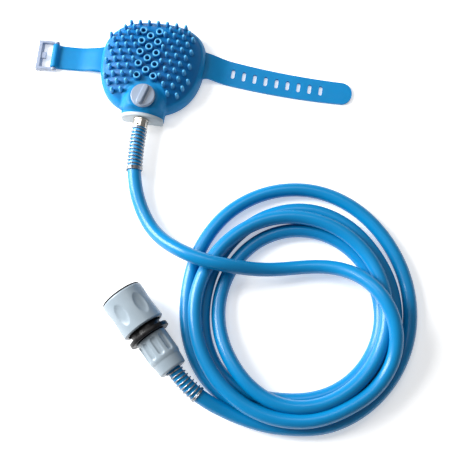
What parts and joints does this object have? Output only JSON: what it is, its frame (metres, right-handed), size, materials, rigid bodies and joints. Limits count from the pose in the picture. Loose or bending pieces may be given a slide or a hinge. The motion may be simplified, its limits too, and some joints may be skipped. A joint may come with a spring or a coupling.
{
  "type": "handheld bath sprayer",
  "caption": "Palm-worn silicone washing pad with spray nozzles and an on/off knob, slotted wrist strap, coiled hose and click-on tap connector.",
  "frame": {"origin": "centre of the pad's flat palm face, which rests on the ground", "axes": "+Z out of the nubbed face, +Y from the hose inlet to the far edge of the pad, +X along the long strap"},
  "size_m": [0.3558, 0.3357, 0.0355],
  "materials": {
    "silicone": "soft satin silicone",
    "hose": "glossy extruded",
    "white_plastic": "moulded",
    "knob_plastic": "moulded",
    "grey_plastic": "moulded",
    "black_plastic": "moulded",
    "buckle_plastic": "slightly clear",
    "steel": "drawn wire",
    "nickel": "polished",
    "brass": "turned",
    "seal_rubber": "matt"
  },
  "bodies": {
    "root": {"silicone_cover": "silicone", "back_shell": "grey_plastic", "spray_shell": "white_plastic", "shell_gasket": "seal_rubber", "shell_screws": "steel", "valve_body": "white_plastic", "valve_bonnet": "white_plastic", "end_cap": "white_plastic", "inlet_gasket": "seal_rubber", "inlet_tail": "brass", "head_ferrule": "nickel", "head_spring": "steel", "buckle_pin": "steel", "hose_lead": "hose", "hose_coil": "hose", "hose_tail": "hose", "tail_spring": "steel", "connector_body": "black_plastic", "connector_seal": "seal_rubber", "sleeve_spring": "steel", "retainer_ring": "black_plastic"},
    "knob": {"knob": "knob_plastic", "valve_plug": "brass", "valve_seals": "seal_rubber"},
    "buckle": {"buckle_frame": "buckle_plastic"},
    "collet": {"grip_collet": "white_plastic"},
    "nut": {"connector_nut": "grey_plastic"},
    "sleeve": {"connector_sleeve": "grey_plastic"},
    "jaw_upper": {"lock_jaw_upper": "white_plastic"},
    "jaw_lower": {"lock_jaw_lower": "white_plastic"}
  },
  "joints": [
    {"name": "knob_turn", "type": "hinge", "parent": "root", "child": "knob", "pos_m": [0, -0.035, 0.026], "axis": [0, 0, 1], "range_deg": [-76, 14]},
    {"name": "buckle_swing", "type": "hinge", "parent": "root", "child": "buckle", "pos_m": [-0.08734, -0.00059, 0.0032], "axis": [-0.061, 0.9981, 0], "range_deg": [-142, 150]},
    {"name": "nut_back_off", "type": "slide", "parent": "root", "child": "collet", "axis": [-0.7071, 0.7071, 0], "range_m": [-0.002, 0]},
    {"name": "nut_turn", "type": "hinge", "parent": "collet", "child": "nut", "pos_m": [0.05086, -0.24186, 0.01775], "axis": [-0.7071, 0.7071, 0], "range_deg": [-360, 0]},
    {"name": "sleeve_pull", "type": "slide", "parent": "root", "child": "sleeve", "axis": [-0.7071, 0.7071, 0], "range_m": [-0.0045, 0], "stiffness_N_per_m": 400, "springref_m": 0.006, "deforming": ["sleeve_spring"]},
    {"name": "jaw_upper_open", "type": "slide", "parent": "root", "child": "jaw_upper", "axis": [0, 0, 1], "range_m": [0, 0.0011]},
    {"name": "jaw_lower_open", "type": "slide", "parent": "root", "child": "jaw_lower", "axis": [0, 0, -1], "range_m": [0, 0.0011]}
  ],
  "couplings": [
    {"joint": "nut_back_off", "follows": "nut_turn", "m_per_rad": 0.000318},
    {"joint": "jaw_upper_open", "follows": "sleeve_pull", "ratio": -0.244},
    {"joint": "jaw_lower_open", "follows": "sleeve_pull", "ratio": -0.244}
  ]
}
